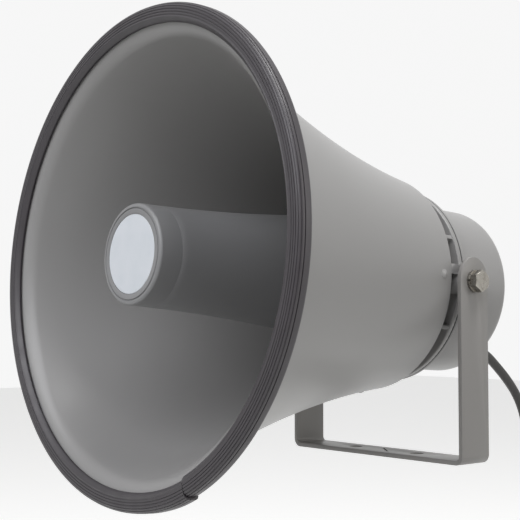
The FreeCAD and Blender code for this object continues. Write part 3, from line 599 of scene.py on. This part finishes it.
def rim_moulding():
    """The profile spun from one side of the joint to the other and closed at both ends."""
    bm = outline_bmesh(trim_outline())
    first = math.radians(90 - JOINT_DEG + JOINT_GAP_DEG / 2)
    bmesh.ops.rotate(bm, verts=bm.verts, cent=(0, 0, 0), matrix=Matrix.Rotation(first, 3, "Y"))
    start = bm.edges[:]
    turn = math.radians(360 - JOINT_GAP_DEG)
    made = bmesh.ops.spin(bm, geom=bm.verts[:] + start, cent=(0, 0, 0), axis=(0, 1, 0),
                          dvec=(0, 0, 0), angle=turn, steps=TRIM_TURN_STEPS, use_merge=False)
    last = [e for e in made["geom_last"] if isinstance(e, bmesh.types.BMEdge)]
    for ring in (start, last):
        bmesh.ops.contextual_create(bm, geom=ring)
    bmesh.ops.recalc_face_normals(bm, faces=bm.faces)
    for vert in bm.verts:
        before_joint = (JOINT_DEG - math.degrees(math.atan2(vert.co.z, vert.co.x))) % 360
        push = STAND_OFF * MM * math.exp(-(before_joint / STAND_OFF_DEG) ** 2)
        out = Vector((vert.co.x, 0, vert.co.z)).normalized()
        vert.co += out * push
    bmesh.ops.transform(bm, matrix=IN_PLACE, verts=bm.verts)
    return piece_from("rim_moulding", bm, TRIM_SMOOTH_DEG)


settle(rim_moulding(), "horn", "trim_rubber", trim_rubber, "rim_trim")

# %% [markdown]
# ## The reflector
# The middle section of the folded path is closed at the front, where a spigot holds the nose's
# cap, and widens towards the back. Between the two pieces there is a fine step.

# %% Reflector
NOSE_R = 31.0
NOSE_WALL = 2.2
NOSE_CAP_BACK_S = 11.0
REFLECTOR_BACK_S = 158.0
REFLECTOR_BACK_R = 43.6
REFLECTOR_WALL = 2.0
REFLECTOR_END_R = 1.0
REFLECTOR_END_DEG = 80
REFLECTOR_END_STEPS = 5
REFLECTOR_TAPER = 1.9  # how much of its growth is a plain cone's
REFLECTOR_STEPS = 30
SPIGOT_LONG = 6.0  # how far the spigot reaches into the cap
CLOSED_TO = 3.0  # the solid front ends this far behind the cap
CLOSED_EDGE = 6.0  # width of the slope from the solid front out to the wall
HOLLOW_FROM = 8.0  # from here back the wall has its own thickness


def reflector_r(s):
    """The reflector's outer radius at s."""
    t = s / REFLECTOR_BACK_S
    return NOSE_R + REFLECTOR_TAPER * t + (REFLECTOR_BACK_R - NOSE_R - REFLECTOR_TAPER) * t ** 2


def reflector_outline():
    """Closed section of the reflector from the nose's spigot to the back and inside again."""
    front = NOSE_CAP_BACK_S
    front_r = reflector_r(front)
    spigot_r = NOSE_R - NOSE_WALL - EASE
    points = [(front - SPIGOT_LONG, 0), (front - SPIGOT_LONG, spigot_r), (front, spigot_r),
              (front, front_r - 1.5 * EASE), (front + 3 * EASE, front_r - 0.2 * EASE)]
    long = REFLECTOR_BACK_S - front
    places = [front + long * i / REFLECTOR_STEPS for i in range(1, REFLECTOR_STEPS)]
    outer = [(s, reflector_r(s)) for s in places]
    end = arc(REFLECTOR_BACK_S - REFLECTOR_END_R, REFLECTOR_BACK_R - REFLECTOR_END_R,
              REFLECTOR_END_R, REFLECTOR_END_DEG, -REFLECTOR_END_DEG, REFLECTOR_END_STEPS)
    inner = [(s, r - REFLECTOR_WALL) for s, r in reversed(outer) if s > front + HOLLOW_FROM]
    closed = [(front + CLOSED_TO, NOSE_R - NOSE_WALL - CLOSED_EDGE), (front + CLOSED_TO, 0)]
    return points + outer + end + inner + closed


settle(turned("reflector_shell", reflector_outline()), "horn", "reflector_plastic",
       nose_plastic, "reflector")

# %% [markdown]
# ## The nose
# A separate cap with a small rounding carries a plain white plate. A narrow groove runs round its
# flat face near the edge. Both are turned, and the plate sits in a shallow seat, so that its edge
# shows as a fine line.

# %% Nose cap and plate
NOSE_FRONT_S = -4.7
NOSE_ROUND = 2.0
NOSE_ROUND_STEPS = 8
NOSE_FLOOR = 2.4
NOSE_TURN_STEPS = 128
PLATE_R = 24.2
PLATE_THICK = 0.8
NOSE_GROOVE_R = 27.9
NOSE_GROOVE = 0.7


def nose_outline():
    """Closed section of the cap, with the plate's seat and the groove round it."""
    front = NOSE_FRONT_S
    seat = front + PLATE_THICK
    inside = seat + NOSE_FLOOR
    seat_r = PLATE_R + 1.5 * EASE
    groove_in = NOSE_GROOVE_R - NOSE_GROOVE / 2
    groove_out = NOSE_GROOVE_R + NOSE_GROOVE / 2
    rounding = arc(front + NOSE_ROUND, NOSE_R - EASE - NOSE_ROUND, NOSE_ROUND, 180, 90,
                   NOSE_ROUND_STEPS)
    return [
        (seat, 0), (seat, seat_r), (front + EASE, seat_r), (front, PLATE_R + 3 * EASE),
        (front, groove_in - 1.5 * EASE), (front + 2 * EASE, groove_in),
        (front + NOSE_GROOVE, groove_in + EASE), (front + NOSE_GROOVE, groove_out - EASE),
        (front + 2 * EASE, groove_out), (front, groove_out + 1.5 * EASE), *rounding,
        (NOSE_CAP_BACK_S - 2 * EASE, NOSE_R + EASE), (NOSE_CAP_BACK_S, NOSE_R - EASE / 2),
        (NOSE_CAP_BACK_S, NOSE_R - NOSE_WALL), (inside, NOSE_R - NOSE_WALL), (inside, 0),
    ]


def plate_outline():
    """Closed section of the plate with a slightly rounded edge."""
    face = NOSE_FRONT_S + EASE
    back = NOSE_FRONT_S + PLATE_THICK
    return [(back, 0), (face, 0), (face, PLATE_R - 3 * EASE), (face + 2.5 * EASE, PLATE_R),
            (back, PLATE_R)]


settle(turned("nose_shell", nose_outline(), NOSE_TURN_STEPS), "horn", "reflector_plastic",
       nose_plastic, "nose_cap")
settle(turned("bare_plate", plate_outline(), NOSE_TURN_STEPS), "horn", "label_white",
       label_white, "label_plate")

# %% [markdown]
# ## Castings, cover and bracket
# These have ribs, bores and bends that the CAD already cut exactly, so each is a copy of its solid
# with rounded edges. The radius of the rounding changes with how the piece was made. Fasteners
# have small flat faces, so fewer of their edges are shaded smooth.

# %% Copies with rounded edges
COPIES = [
    # node, new name, rounding in mm, body, slot, finish
    ("rear_base", "base_casting", 0.35, "horn", "horn_paint", horn_paint),
    ("rear_cover", "cover_shell", 0.3, "horn", "horn_paint", horn_paint),
    ("bracket", "bracket_strip", 0.4, "bracket", "bracket_paint", bracket_paint),
    ("bell_rivets", "rivet_heads", 0.15, "horn", "horn_paint", horn_paint),
    ("tilt_bolts", "hex_bolts", 0.12, "horn", "bolt_zinc", bolt_zinc),
    ("spring_washers", "split_washers", 0.12, "horn", "bolt_zinc", bolt_zinc),
    ("cover_screws", "long_screws", 0.2, "horn", "screw_steel", screw_steel),
    ("cable_gland", "lead_gland", 0.3, "horn", "gland_plastic", gland_nylon),
]
FLAT_FACED = {"hex_bolts", "split_washers", "long_screws"}
FLAT_SMOOTH_DEG = 15
CAST_SMOOTH_DEG = 30

for cad_node, name, round_mm, body, slot, finish in COPIES:
    smooth_deg = FLAT_SMOOTH_DEG if name in FLAT_FACED else CAST_SMOOTH_DEG
    settle(rounded_copy(cad_node, name, round_mm, smooth_deg), body, slot, finish, cad_node)

# %% [markdown]
# ## Arm tops
# The round tops of the bracket's arms stand a little higher above the bolts than a half circle
# would, so the copy is stretched above the bolts' axis.

# %% Arm tops
ARM_TOP_HIGH = 16.0
ARM_HALF_WIDE = 13.5

strip = bpy.data.objects["bracket_strip"]
axis_z = PIVOT_HEIGHT * MM
for vert in strip.data.vertices:
    if vert.co.z > axis_z:
        vert.co.z = axis_z + (vert.co.z - axis_z) * (ARM_TOP_HIGH / ARM_HALF_WIDE)
strip.data.update()
print("arm tops above the bolts' axis:", ARM_TOP_HIGH, "mm")

# %% [markdown]
# ## The cover's joint
# The cover meets the casting with a thin flange of its own, and the black seal between the two
# shows as a fine dark line. The seal is set in a little, as a real one is when it is squeezed.

# %% Cover's flange and seal
FLANGE_R = 68.6
FLANGE_BACK_S = 217.8
SEAL_THICK = 0.8
SEAL_INSET = 0.35
COVER_FLANGE_THICK = 2.2
COVER_FLANGE_INNER_R = 58.9
COVER_FLANGE_ROUND = 0.7

seal_back = FLANGE_BACK_S + SEAL_THICK
seal_r = FLANGE_R - SEAL_INSET
seal_line = [(FLANGE_BACK_S, COVER_FLANGE_INNER_R), (FLANGE_BACK_S, seal_r),
             (seal_back, seal_r), (seal_back, COVER_FLANGE_INNER_R)]
settle(turned("cover_seal", seal_line), "horn", "seal_rubber", seal_rubber, "cover_gasket")

flange_back = seal_back + COVER_FLANGE_THICK
cover_flange = [(seal_back, COVER_FLANGE_INNER_R), (seal_back, FLANGE_R - 2 * EASE)]
cover_flange += arc(flange_back - COVER_FLANGE_ROUND, FLANGE_R - COVER_FLANGE_ROUND,
                    COVER_FLANGE_ROUND, 90, 0)
cover_flange += [(flange_back, COVER_FLANGE_INNER_R)]
settle(turned("cover_flange", cover_flange), "horn", "horn_paint", horn_paint)

# %% [markdown]
# ## Pieces that keep their CAD mesh
# What sits inside the cover or deep in the horn is hardly seen, so it keeps its own mesh and only
# gets its finish.

# %% Finishes on CAD nodes
INNER = {
    "throat_tube": throat_plastic, "phase_plug": throat_plastic, "boss_inserts": insert_brass,
    "friction_washers": washer_fibre, "driver_top_plate": plate_steel,
    "driver_back_plate": plate_steel, "driver_magnet": ferrite, "diaphragm": dome_metal,
    "voice_coil": coil_copper, "driver_screws": screw_steel, "transformer_core": core_iron,
    "transformer_winding": coil_copper, "gland_locknut": gland_nylon, "cord_tie": gland_nylon,
    "cord_leads": lead_skin,
}
for name, finish in INNER.items():
    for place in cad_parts[name].material_slots:
        place.material = finish
print(len(INNER), "CAD nodes keep their mesh")

# %% [markdown]
# ## The cord's finish
# The lead stands for both of the CAD's cord nodes, which it hides, and takes the sheath's finish.

# %% Cord finish
settle(lead, "horn", "cord_sheath", cord_sheath, "cord", "cord_coil")

# %% [markdown]
# ## The floor
# A plain pale floor lies far enough below that nothing on the part reaches it. A little glow,
# which only the camera and glossy or clear surfaces see, makes it nearly white and leaves the
# part's shadow on it. It lights nothing: what the floor sends up comes from its own grey alone.

# %% Floor
FLOOR_Z = -0.32
FLOOR_HALF = 6.0
FLOOR_COLOUR = "#d0d0ce"
FLOOR_ROUGHNESS = 0.9
FLOOR_GLOW = 0.64


def seen_rays(tree):
    """1 for rays from the camera and from glossy or clear surfaces, and 0 for diffuse light."""
    rays = node(tree, "ShaderNodeLightPath")
    seen = rays.outputs["Is Camera Ray"]
    for kind in ("Is Glossy Ray", "Is Transmission Ray"):
        either = node(tree, "ShaderNodeMath", {"operation": "MAXIMUM"})
        tree.links.new(seen, either.inputs[0])
        tree.links.new(rays.outputs[kind], either.inputs[1])
        seen = either.outputs[0]
    return seen


def pale_floor():
    """A wide floor that looks white to the camera and in reflections, and grey to the light."""
    bm = bmesh.new()
    bmesh.ops.create_grid(bm, x_segments=1, y_segments=1, size=FLOOR_HALF)
    bmesh.ops.translate(bm, verts=bm.verts, vec=(0, 0, FLOOR_Z))
    floor = piece_from("floor", bm)
    material, tree, main = new_finish("pale_floor", Base_Color=colour(FLOOR_COLOUR),
                                      Roughness=FLOOR_ROUGHNESS)
    shown = node(tree, "ShaderNodeMath", {"operation": "MULTIPLY"})
    tree.links.new(seen_rays(tree), shown.inputs[0])
    shown.inputs[1].default_value = FLOOR_GLOW
    main.inputs["Emission Color"].default_value = colour("#ffffff")
    tree.links.new(shown.outputs[0], main.inputs["Emission Strength"])
    floor.data.materials.append(material)


pale_floor()

# %% [markdown]
# ## The lamps
# Three soft panels light the horn: a large one in front and above, which also reaches into the
# mouth, a weaker one from the side and one from the top. Large panels give soft edges to every
# shadow, and satin paint shows them as long, faint highlights.

# %% Lamps
PANELS = [
    # name, place and sides in metres, watts, tint
    ("key_panel", (0.4, -1.6, 1.5), (2.2, 1.6), 41, "#fafbff"),
    ("side_panel", (2.1, 1.1, 0.9), (1.3, 1.3), 12, "#fffcf8"),
    ("top_panel", (0.6, 0.12, 2.0), (1.0, 1.0), 28, "#ffffff"),
]
PANELS_AIM_AT = Vector((0, 0, 0.12))


def panel(name, at, sides, watts, tint):
    """A soft rectangular light aimed at the horn."""
    light = bpy.data.lights.new(name, "AREA")
    light.color = colour(tint)[:3]
    light.shape = "RECTANGLE"
    light.size, light.size_y = sides
    light.energy = watts
    lamp = bpy.data.objects.new(name, light)
    lamp.location = at
    lamp.rotation_euler = (PANELS_AIM_AT - Vector(at)).to_track_quat("-Z", "Y").to_euler()
    bpy.context.collection.objects.link(lamp)


for row in PANELS:
    panel(*row)
print("lamps:", ", ".join(row[0] for row in PANELS))

# %% [markdown]
# ## The room
# The world is a pale room. The camera and glossy surfaces see it nearly white, at a strength just
# below 1, but it gives the other surfaces only a little light, so that the shapes keep their
# shade.

# %% Room
ROOM_COLOUR = "#fafafa"


def studio(fill, shown):
    """A dim grey room for the light, which the camera and glossy surfaces see as nearly white."""
    world = bpy.data.worlds.new("studio")
    bpy.context.scene.world = world
    world.use_nodes = True
    tree = world.node_tree
    level = node(tree, "ShaderNodeMapRange", Value=seen_rays(tree), To_Min=fill, To_Max=shown)
    background = tree.nodes["Background"]
    background.inputs["Color"].default_value = colour(ROOM_COLOUR)
    tree.links.new(level.outputs["Result"], background.inputs["Strength"])


studio(fill=0.11, shown=0.97)
bpy.context.scene.view_settings.view_transform = "Standard"
